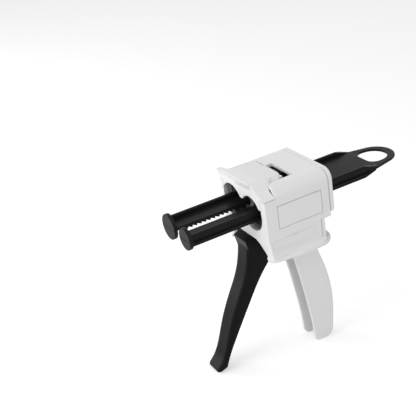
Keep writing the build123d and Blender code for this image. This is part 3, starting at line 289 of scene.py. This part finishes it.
FINISHES = (
    MouldedPlastic(Slot.WHITE_SHELL, (0.80, 0.80, 0.805), 0.42),
    MouldedPlastic(Slot.BLACK_LEVER, (0.0040, 0.0040, 0.0044), 0.32, specular=0.085, edge=1.0 * MM),
    MouldedPlastic(Slot.BLACK_PLUNGER, (0.0100, 0.0100, 0.0105), 0.33, specular=0.075, edge=0.2 * MM),
    MouldedPlastic(Slot.GREY_DISC, (0.014, 0.014, 0.0145), 0.42, specular=0.08),
    # The guide's dark grey also paints the shade seen inside the front openings: partly painted shade.
    MouldedPlastic(Slot.GUIDE_GREY, (0.06, 0.06, 0.062), 0.45),
    DrawnSteel(Slot.PAWL_STEEL, (0.45, 0.45, 0.46), 0.38),
    DrawnSteel(Slot.PIN_STEEL, (0.60, 0.60, 0.61), 0.28),
    DrawnSteel(Slot.SPRING_STEEL, (0.55, 0.55, 0.56), 0.32, lines=(700.0, 700.0, 700.0)),
)


@dataclass
class Wardrobe:
    """The finishes by slot, and the call that puts one on an object."""

    materials: dict[Slot, bpy.types.Material] = field(default_factory=dict)

    def fill(self) -> None:
        """Build every finish once."""
        for finish in FINISHES:
            self.materials[finish.slot] = finish.build()

    def dress(self, obj: bpy.types.Object, slot: Slot) -> None:
        """Give one object one finish.

        Args:
            obj: Object to paint.
            slot: Slot whose finish it takes.
        """
        if not obj.material_slots:
            obj.data.materials.append(self.materials[slot])
        for material_slot in obj.material_slots:
            material_slot.material = self.materials[slot]


@dataclass
class NodeTree:
    """A geometry tree under construction, and its run on one object.

    Attributes:
        name: Name of the tree.
    """

    name: str

    def __post_init__(self) -> None:
        """Make the empty tree with its input and output."""
        self.group = bpy.data.node_groups.new(self.name, "GeometryNodeTree")
        self.group.is_modifier = True
        self.group.interface.new_socket("Geometry", in_out="INPUT", socket_type="NodeSocketGeometry")
        self.group.interface.new_socket("Geometry", in_out="OUTPUT", socket_type="NodeSocketGeometry")
        self.source = self.group.nodes.new("NodeGroupInput")
        self.result = self.group.nodes.new("NodeGroupOutput")
        self.keys: dict[str, str] = {}

    def take(self, name: str, kind: str) -> bpy.types.NodeSocket:
        """Add a named input.

        Args:
            name: What the input is called.
            kind: Its socket type, without the common beginning.

        Returns:
            The socket that gives its value inside the tree.
        """
        entry = self.group.interface.new_socket(name, in_out="INPUT", socket_type=f"NodeSocket{kind}")
        self.keys[name] = entry.identifier
        return self.source.outputs[name]

    def add(self, kind: str, **inputs: object) -> bpy.types.Node:
        """Add a node and set or link its inputs.

        Args:
            kind: Its type, without the common beginning.
            **inputs: Sockets to link or values to set, by the input's name with spaces as underscores.

        Returns:
            The new node.
        """
        node = self.group.nodes.new(kind)
        for name, value in inputs.items():
            socket = node.inputs[name.replace("_", " ")]
            if isinstance(value, bpy.types.NodeSocket):
                self.group.links.new(value, socket)
            else:
                socket.default_value = value
        return node

    def close(self, geometry: bpy.types.NodeSocket, finish: bpy.types.NodeSocket) -> None:
        """End the tree in real geometry with its finish.

        Args:
            geometry: What the tree has built.
            finish: Input that holds the finish.
        """
        real = self.add("GeometryNodeRealizeInstances", Geometry=geometry)
        painted = self.add("GeometryNodeSetMaterial", Geometry=real.outputs["Geometry"], Material=finish)
        self.group.links.new(painted.outputs["Geometry"], self.result.inputs["Geometry"])

    def grow(self, obj: bpy.types.Object, values: dict[str, object]) -> bpy.types.Mesh:
        """Run the tree on an object.

        Args:
            obj: Object that carries the tree for the moment.
            values: Value of each named input.

        Returns:
            The grown geometry as a plain mesh.
        """
        modifier = obj.modifiers.new(self.name, "NODES")
        modifier.node_group = self.group
        for name, value in values.items():
            modifier[self.keys[name]] = value
        depsgraph = bpy.context.evaluated_depsgraph_get()
        mesh = bpy.data.meshes.new_from_object(obj.evaluated_get(depsgraph), depsgraph=depsgraph)
        obj.modifiers.remove(modifier)
        return mesh


def row_tree() -> NodeTree:
    """Build the tree that sets one piece in an even row along -X behind a plain base.

    Returns:
        The tree, with the inputs Count, Pitch, Start, Piece and Finish.
    """
    tree = NodeTree("toothed_row")
    count, pitch = tree.take("Count", "Int"), tree.take("Pitch", "Float")
    start, piece = tree.take("Start", "Vector"), tree.take("Piece", "Object")
    finish = tree.take("Finish", "Material")
    back = tree.add("ShaderNodeMath", Value=pitch)
    back.operation = "MULTIPLY"
    back.inputs[1].default_value = -1.0
    step = tree.add("ShaderNodeCombineXYZ", X=back.outputs["Value"])
    line = tree.add("GeometryNodeMeshLine", Count=count, Start_Location=start, Offset=step.outputs["Vector"])
    tooth = tree.add("GeometryNodeObjectInfo", Object=piece)
    row = tree.add("GeometryNodeInstanceOnPoints", Points=line.outputs["Mesh"],
                   Instance=tooth.outputs["Geometry"])
    both = tree.add("GeometryNodeJoinGeometry")
    tree.group.links.new(row.outputs["Instances"], both.inputs["Geometry"])
    tree.group.links.new(tree.source.outputs["Geometry"], both.inputs["Geometry"])
    tree.close(both.outputs["Geometry"], finish)
    return tree


def coil_tree() -> NodeTree:
    """Build the tree that winds a round wire about Z, from Z = 0 upwards.

    Returns:
        The tree, with the inputs Turns, Radius, Height, Wire and Finish.
    """
    tree = NodeTree("wound_wire")
    turns, radius = tree.take("Turns", "Float"), tree.take("Radius", "Float")
    height, wire = tree.take("Height", "Float"), tree.take("Wire", "Float")
    finish = tree.take("Finish", "Material")
    route = tree.add("GeometryNodeCurveSpiral", Resolution=COIL_STEPS, Rotations=turns,
                     Start_Radius=radius, End_Radius=radius, Height=height)
    section = tree.add("GeometryNodeCurvePrimitiveCircle", Resolution=WIRE_SIDES, Radius=wire)
    tube = tree.add("GeometryNodeCurveToMesh", Curve=route.outputs["Curve"],
                    Profile_Curve=section.outputs["Curve"], Fill_Caps=True)
    smooth = tree.add("GeometryNodeSetShadeSmooth", Geometry=tube.outputs["Mesh"])
    tree.close(smooth.outputs["Geometry"], finish)
    return tree


def new_object(name: str, mesh: bpy.types.Mesh) -> bpy.types.Object:
    """Link a mesh to the scene.

    Args:
        name: Name of the object and of its mesh.
        mesh: What it shows.

    Returns:
        An object at the origin, unturned and unscaled.
    """
    mesh.name = name
    obj = bpy.data.objects.new(name, mesh)
    bpy.context.scene.collection.objects.link(obj)
    return obj


def loft(mesh: bmesh.types.BMesh, first: list[Vector], last: list[Vector]) -> None:
    """Add a closed bar between two outlines that have the same number of points.

    Args:
        mesh: Mesh that gains the bar.
        first: Outline at one end.
        last: Outline at the other end.
    """
    rings = [[mesh.verts.new(point) for point in outline] for outline in (first, last)]
    mesh.faces.new(rings[0])
    mesh.faces.new(rings[1][::-1])
    for number in range(len(first)):
        after = (number + 1) % len(first)
        mesh.faces.new((rings[0][after], rings[0][number], rings[1][number], rings[1][after]))


def finished(mesh: bmesh.types.BMesh) -> bpy.types.Mesh:
    """Turn a mesh under construction into a plain one with outward faces.

    Args:
        mesh: Mesh to close and free.

    Returns:
        The plain mesh.
    """
    bmesh.ops.recalc_face_normals(mesh, faces=mesh.faces)
    plain = bpy.data.meshes.new("piece")
    mesh.to_mesh(plain)
    mesh.free()
    return plain


def smooth_by_angle(mesh: bpy.types.Mesh) -> None:
    """Shade a mesh smooth except across its sharp edges.

    Args:
        mesh: Mesh to shade.
    """
    for face in mesh.polygons:
        face.use_smooth = True
    mesh.set_sharp_from_angle(angle=SMOOTH_ANGLE)


@dataclass
class SubAssembly:
    """Pieces of one moving body.

    Attributes:
        body: Body that the pieces ride on.
        nodes: The frame's own nodes that stay in sight, with their slots.
        wardrobe: Finishes to dress the pieces in.
    """

    body: ClassVar[Body]
    nodes: ClassVar[dict[str, Slot]]
    wardrobe: Wardrobe

    def build(self) -> list[bpy.types.Object]:
        """Build what the frame doesn't show well enough. Most sub-assemblies have nothing to add."""
        return []

    def assemble(self) -> None:
        """Dress the frame's nodes, build the rest and report every piece."""
        for name, slot in self.nodes.items():
            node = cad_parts[name]
            self.wardrobe.dress(node, slot)
            log.info("%s: %s, %d faces, %s", self.body.value, name, len(node.data.polygons), slot.value)
        for piece in self.build():
            log.info("%s: %s, %d faces, built here", self.body.value, piece.name, len(piece.data.polygons))

    def put(self, obj: bpy.types.Object, slot: Slot, *replaced: str) -> bpy.types.Object:
        """Dress a built piece, hang it on the body and let it stand for nodes.

        Args:
            obj: The piece.
            slot: Its finish.
            *replaced: Nodes that it stands for.

        Returns:
            The piece.
        """
        self.wardrobe.dress(obj, slot)
        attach(obj, self.body.value)
        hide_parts(*replaced)
        return obj


@dataclass(frozen=True)
class Coil:
    """A wound spring that stands for a node of the frame and takes its place and size.

    Attributes:
        node: Name of the node.
        turn: Axis that it is wound about.
        wire: Diameter of the wire.
        turns: Number of turns.
    """

    node: str
    turn: Turn
    wire: float
    turns: float

    def build(self, steel: bpy.types.Material) -> bpy.types.Object:
        """Wind the wire where the node stands.

        Args:
            steel: Finish of the wire.

        Returns:
            The coil as a plain mesh object.
        """
        low, high = (Vector(corner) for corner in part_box(self.node))
        middle, extent = (low + high) / 2, high - low
        along = 1 if self.turn is Turn.ACROSS else 0
        radius = (extent.z - self.wire) / 2
        height = extent[along] - self.wire
        obj = new_object(f"{self.node}_wire", bpy.data.meshes.new("seed"))
        wound = coil_tree().grow(obj, {
            "Turns": self.turns, "Radius": radius, "Height": height, "Wire": self.wire / 2,
            "Finish": steel})
        centred = Matrix.Translation((0, 0, -height / 2))
        wound.transform(Matrix.Translation(middle) @ self.turn.value @ centred)
        seed, obj.data = obj.data, wound
        bpy.data.meshes.remove(seed)
        wound.name = obj.name
        return obj


@dataclass
class GunBody(SubAssembly):
    """White body with its guide block, rear cover, handle, fixed pins and rubbing leaves."""

    body: ClassVar[Body] = Body.GUN
    nodes: ClassVar[dict[str, Slot]] = {
        "housing": Slot.WHITE_SHELL, "rear_cover": Slot.WHITE_SHELL, "handle": Slot.WHITE_SHELL,
        "plunger_guide": Slot.GUIDE_GREY, "lever_pivot_pin": Slot.PIN_STEEL,
        "latch_hinge_pin": Slot.PIN_STEEL, "release_hinge_pin": Slot.PIN_STEEL,
        "brake_leaf_large": Slot.SPRING_STEEL, "brake_leaf_small": Slot.SPRING_STEEL,
    }


@dataclass
class Latch(SubAssembly):
    """White latch over the cartridge slot."""

    body: ClassVar[Body] = Body.LATCH
    nodes: ClassVar[dict[str, Slot]] = {"cartridge_latch": Slot.WHITE_SHELL}


@dataclass
class SprungAssembly(SubAssembly):
    """Sub-assembly whose spring is wound here.

    Attributes:
        coil: The spring.
    """

    coil: Coil

    def build(self) -> list[bpy.types.Object]:
        """Wind the spring.

        Returns:
            The spring alone.
        """
        wound = self.coil.build(self.wardrobe.materials[Slot.SPRING_STEEL])
        return [self.put(wound, Slot.SPRING_STEEL, self.coil.node)]


@dataclass
class TriggerLever(SprungAssembly):
    """Black swept lever with its return spring and the pawl's pin."""

    body: ClassVar[Body] = Body.TRIGGER
    nodes: ClassVar[dict[str, Slot]] = {"trigger_lever": Slot.BLACK_LEVER, "pawl_pin": Slot.PIN_STEEL}
    coil: Coil = Coil("lever_spring", Turn.ACROSS, wire=1.0 * MM, turns=4)


@dataclass
class DrivePawl(SprungAssembly):
    """Steel pawl that pushes the racks, with its light spring."""

    body: ClassVar[Body] = Body.PAWL
    nodes: ClassVar[dict[str, Slot]] = {"drive_pawl": Slot.PAWL_STEEL}
    coil: Coil = Coil("pawl_spring", Turn.ACROSS, wire=0.5 * MM, turns=2)


@dataclass
class ReleaseLever(SprungAssembly):
    """Black thumb tab with its tooth and the spring that holds the tooth up.

    Attributes:
        squeeze: Share of the spring's length that is left when the tab is fully lifted; not used.
    """

    body: ClassVar[Body] = Body.RELEASE
    nodes: ClassVar[dict[str, Slot]] = {"release_lever": Slot.BLACK_LEVER}
    coil: Coil = Coil("release_spring", Turn.REARWARD, wire=0.6 * MM, turns=3)
    squeeze: float = 0.62

    def build(self) -> list[bpy.types.Object]:
        """Wind the spring and give it a mesh of its own.

        Returns:
            The spring alone.
        """
        springs = super().build()
        for spring in springs:
            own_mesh(spring)
        return springs


@dataclass
class Plunger(SubAssembly):
    """Two toothed rods with their piston discs, joined by the rear deck and the pull ring.

    Attributes:
        wall: Thickness of a rod's outer wall.
        groove: Depth of the groove along that wall.
        groove_z: Lower and upper side of the groove.
        web: Half the thickness of the web that carries the teeth.
        web_inner: Distance from the middle to the web's inner edge.
        rim: Radius of the outer wall's long edges.
        pitch: Length of one tooth.
        tooth_width: Width of the teeth, across the rod.
        tooth_depth: How far a tooth stands below the web.
        tooth_root: How far a tooth reaches into the web.
        tooth_land: Length of a tooth's flat tip.
        tooth_gap: Space between two teeth.
        first_tooth: X of the foremost tooth.
        nose: Length, half width and half height of the thicker front end.
        socket: Radius and depth of the hole for a disc's spigot.
        edge: Width of the bevel on the rods' edges.
        edge_steps: Steps across that bevel.
        corner_steps: Steps round a quarter circle of the outer wall.
        nose_sides: Sides of the round hole in the nose.
    """

    body: ClassVar[Body] = Body.PLUNGER
    nodes: ClassVar[dict[str, Slot]] = {
        "plunger_yoke": Slot.BLACK_PLUNGER, "piston_disc_large": Slot.GREY_DISC,
        "piston_disc_small": Slot.GREY_DISC,
    }
    wall: float = 3.2 * MM
    groove: float = 1.2 * MM
    groove_z: tuple[float, float] = (-1.5 * MM, 1.0 * MM)
    web: float = 1.2 * MM
    web_inner: float = 4.6 * MM
    rim: float = 1.0 * MM
    pitch: float = 3.7 * MM
    tooth_width: float = 2.6 * MM
    tooth_depth: float = 1.4 * MM
    tooth_root: float = 0.2 * MM
    tooth_land: float = 0.4 * MM
    tooth_gap: float = 0.1 * MM
    first_tooth: float = 46.5 * MM
    nose: tuple[float, float, float] = (2.2 * MM, 2.6 * MM, 2.3 * MM)
    socket: tuple[float, float] = (1.55 * MM, 2.1 * MM)
    edge: float = 0.12 * MM
    edge_steps: int = 2
    corner_steps: int = 4
    nose_sides: int = 32

    def build(self) -> list[bpy.types.Object]:
        """Build both rods with their racks.

        Returns:
            The large rod and the small one.
        """
        tree = row_tree()
        return [self.rod(side, tree) for side in Side]

    def rod(self, side: Side, tree: NodeTree) -> bpy.types.Object:
        """Build one rod and set its row of teeth.

        Args:
            side: Which rod.
            tree: Tree that sets the row.

        Returns:
            The rod in the place of its node.
        """
        node = f"plunger_rod_{side.word}"
        low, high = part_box(node)
        disc_low, disc_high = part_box(f"piston_disc_{side.word}")
        axis = (disc_low[1] + disc_high[1]) / 2
        outer = low[1] if side is Side.LARGE else high[1]
        bar = bmesh.new()
        section = self.section(side, outer, high[2])
        rear, front = ([Vector((x, y, z)) for y, z in section] for x in (low[0], high[0]))
        loft(bar, rear, front)
        self.add_nose(bar, high[0], axis)
        rod = new_object(f"{node}_toothed", finished(bar))
        tooth = new_object(f"tooth_{side.word}", self.tooth(side))
        seed = rod.data
        rod.data = tree.grow(rod, {
            "Count": int((self.first_tooth - low[0]) / self.pitch), "Pitch": self.pitch,
            "Start": (self.first_tooth, 0.0, 0.0), "Piece": tooth,
            "Finish": self.wardrobe.materials[Slot.BLACK_PLUNGER]})
        rod.data.name = rod.name
        for spare in (seed, tooth.data):
            bpy.data.meshes.remove(spare)
        smooth_by_angle(rod.data)
        bevel = rod.modifiers.new("edges", "BEVEL")
        bevel.width = self.edge
        bevel.segments = self.edge_steps
        bevel.limit_method = "ANGLE"
        bevel.angle_limit = SMOOTH_ANGLE
        return self.put(rod, Slot.BLACK_PLUNGER, node)

    def section(self, side: Side, outer: float, half: float) -> list[tuple[float, float]]:
        """Work out a rod's cross-section: a web with a grooved outer wall.

        Args:
            side: Which rod.
            outer: Y of the wall's outer face.
            half: Half the wall's height.

        Returns:
            The outline as (Y, Z) points.
        """
        sign = side.value
        inside, groove, inner = outer - sign * self.wall, outer - sign * self.groove, sign * self.web_inner
        floor, roof = self.groove_z
        outline = [(inner, self.web), (inside, self.web)]
        outline += self.round_corner((inside + sign * self.rim, half - self.rim), -sign, 1)
        outline += self.round_corner((outer - sign * self.rim, half - self.rim), sign, 1)[::-1]
        outline += [(outer, roof), (groove, roof), (groove, floor), (outer, floor)]
        outline += self.round_corner((outer - sign * self.rim, self.rim - half), sign, -1)
        outline += self.round_corner((inside + sign * self.rim, self.rim - half), -sign, -1)[::-1]
        return outline + [(inside, -self.web), (inner, -self.web)]

    def round_corner(self, centre: tuple[float, float], right: int, up: int) -> list[tuple[float, float]]:
        """Place the points of one round corner, from its upright side to its level one.

        Args:
            centre: Middle of the arc.
            right: Sign of Y on the corner's outer side.
            up: Sign of Z on the corner's outer side.

        Returns:
            Points of a quarter circle.
        """
        step = 90 / self.corner_steps
        angles = [math.radians(step * number) for number in range(self.corner_steps + 1)]
        return [(centre[0] + right * self.rim * math.cos(angle), centre[1] + up * self.rim * math.sin(angle))
                for angle in angles]

    def add_nose(self, bar: bmesh.types.BMesh, front: float, axis: float) -> None:
        """Add the rod's thicker front end with the hole that takes a disc's spigot.

        Args:
            bar: Rod under construction.
            front: X of the front end.
            axis: Y of the spigot's axis.
        """
        length, half_y, half_z = self.nose
        radius, depth = self.socket
        rings = [[], [], [], []]
        for step in range(self.nose_sides):
            angle = math.tau * (step + 0.5) / self.nose_sides
            cosine, sine = math.cos(angle), math.sin(angle)
            reach = min(half_y / abs(cosine), half_z / abs(sine))
            places = ((front - length, reach), (front, reach), (front, radius), (front - depth, radius))
            for ring, (x, out) in zip(rings, places):
                ring.append(bar.verts.new((x, axis + out * cosine, out * sine)))
        bar.faces.new(rings[0])
        bar.faces.new(rings[-1])
        for first, second in zip(rings, rings[1:]):
            for number in range(len(first)):
                after = (number + 1) % len(first)
                bar.faces.new((first[number], first[after], second[after], second[number]))

    def tooth(self, side: Side) -> bpy.types.Mesh:
        """Build one saw tooth with its front at X = 0.

        Args:
            side: Rod that it belongs to.

        Returns:
            A closed wedge that reaches a little way into the web.
        """
        root, tip = -self.web + self.tooth_root, -self.web - self.tooth_depth
        back = self.tooth_gap - self.pitch
        profile = [(0.0, root), (0.0, -self.web), (back + self.tooth_land, tip), (back, tip), (back, root)]
        near, far = side.value * self.web_inner, side.value * (self.web_inner + self.tooth_width)
        wedge = bmesh.new()
        loft(wedge, [Vector((x, near, z)) for x, z in profile], [Vector((x, far, z)) for x, z in profile])
        return finished(wedge)


def resting_tilt(front: bpy.types.Object, rear: bpy.types.Object) -> tuple[float, float]:
    """Find the plane under two feet, parallel to Y.

    Args:
        front: Piece whose foot stands in front.
        rear: Piece whose foot stands behind.

    Returns:
        The plane's slope angle about Y and its height at X = 0.
    """
    def lowest(obj: bpy.types.Object, angle: float) -> float:
        """Height of an object's lowest point over a plane of that slope through the origin."""
        return min(v.co.z * math.cos(angle) - v.co.x * math.sin(angle) for v in obj.data.vertices)

    low, high = 0.0, STEEPEST_TILT
    for _ in range(TILT_HALVINGS):
        angle = (low + high) / 2
        if lowest(front, angle) > lowest(rear, angle):
            low = angle
        else:
            high = angle
    return angle, lowest(rear, angle) / math.cos(angle)


@dataclass(frozen=True)
class SoftBox:
    """Square lamp that faces the gun.

    Attributes:
        name: Name of the lamp.
        place: Where it hangs over a level floor.
        size: Length of its side.
        power: Light in watts.
        aim: Point that it faces.
    """

    name: str
    place: tuple[float, float, float]
    size: float
    power: float
    aim: tuple[float, float, float] = (0.0, 0.0, -0.05)

    def hang(self, turn: Matrix) -> None:
        """Hang the lamp.

        Args:
            turn: Tilt of the floor, which the lamps share.
        """
        light = bpy.data.lights.new(self.name, "AREA")
        light.shape = "SQUARE"
        light.size = self.size
        light.energy = self.power
        lamp = bpy.data.objects.new(self.name, light)
        lamp.location = turn @ Vector(self.place)
        lamp.rotation_mode = "QUATERNION"
        lamp.rotation_quaternion = (Vector(self.aim) - lamp.location).to_track_quat("-Z", "Y")
        bpy.context.scene.collection.objects.link(lamp)


LAMPS = (
    SoftBox("key", (1.30, 0.15, 0.55), 0.9, 8.0),
    SoftBox("top", (-0.1, 0.1, 1.3), 1.4, 0.9),
    SoftBox("side", (0.30, 1.30, 0.70), 1.2, 3.6),
    SoftBox("gloss", (0.80, -0.95, 0.25), 0.8, 6.0),
)


@dataclass
class Studio:
    """Floor, lamps, world and camera.

    Attributes:
        floor_half: Half the floor's width.
        room_light: Strength of the soft light that fills the room.
        lens: Focal length that gives the photograph's view on the sensor, in millimetres.
        sensor: Width of the sensor in millimetres.
        clip: Nearest and farthest distance that the camera sees.
        eye: Camera position.
        right: Direction of the picture's right side.
        down: Direction of the picture's lower side.
    """

    floor_half: float = 6.0
    room_light: float = 0.54
    lens: float = 77.34
    sensor: float = 36.0
    clip: tuple[float, float] = (0.01, 50.0)
    eye: tuple[float, float, float] = (0.26592, 0.51375, 0.28779)
    right: tuple[float, float, float] = (-0.8653, 0.4799, -0.1445)
    down: tuple[float, float, float] = (0.3291, 0.3266, -0.8860)

    def build(self) -> None:
        """Build the whole studio."""
        angle, height = resting_tilt(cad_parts["trigger_lever"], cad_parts["handle"])
        log.info("floor slopes %.2f degrees", math.degrees(angle))
        self.floor(angle, height)
        for lamp in LAMPS:
            lamp.hang(Matrix.Rotation(-angle, 4, "Y"))
        self.world()
        self.camera()

    def floor(self, angle: float, height: float) -> None:
        """Lay the floor under the two feet.

        Args:
            angle: Slope about Y.
            height: Height at X = 0.
        """
        half = self.floor_half
        corners = [(-half, -half, 0), (half, -half, 0), (half, half, 0), (-half, half, 0)]
        mesh = bpy.data.meshes.new("floor")
        mesh.from_pydata(corners, [], [(0, 1, 2, 3)])
        mesh.transform(Matrix.Translation((0, 0, height)) @ Matrix.Rotation(-angle, 4, "Y"))
        floor = bpy.data.objects.new("floor", mesh)
        bpy.context.scene.collection.objects.link(floor)
        mesh.materials.append(StudioFloor().build())

    def world(self) -> None:
        """Fill the room with soft grey light, and show white where it is seen directly."""
        world = bpy.data.worlds.new("studio")
        world.use_nodes = True
        nodes, links = world.node_tree.nodes, world.node_tree.links
        back = nodes["Background"]
        seen = seen_directly(nodes, links)
        level = nodes.new("ShaderNodeMapRange")
        level.inputs["To Min"].default_value = self.room_light
        level.inputs["To Max"].default_value = 1.0
        links.new(seen, level.inputs["Value"])
        back.inputs["Color"].default_value = (1.0, 1.0, 1.0, 1.0)
        links.new(level.outputs["Result"], back.inputs["Strength"])
        bpy.context.scene.world = world

    def camera(self) -> None:
        """Set the camera to the photograph's view."""
        data = bpy.data.cameras.new("camera")
        data.lens = self.lens
        data.sensor_width = self.sensor
        data.clip_start, data.clip_end = self.clip
        camera = bpy.data.objects.new("camera", data)
        right, down = Vector(self.right).normalized(), Vector(self.down)
        down = (down - right * down.dot(right)).normalized()
        back = right.cross(-down)
        axes = Matrix((right, -down, back)).transposed()
        camera.matrix_world = Matrix.Translation(self.eye) @ axes.to_4x4()
        bpy.context.scene.collection.objects.link(camera)
        bpy.context.scene.camera = camera


def main() -> None:
    """Build the sub-assemblies in order, then what stands round them."""
    logging.basicConfig(level=logging.INFO, format="%(name)s: %(message)s")
    bpy.context.scene.view_settings.view_transform = "Standard"
    wardrobe = Wardrobe()
    wardrobe.fill()
    for kind in (GunBody, Latch, TriggerLever, DrivePawl, ReleaseLever, Plunger):
        kind(wardrobe).assemble()
    Studio().build()


if __name__ == "__main__":
    main()
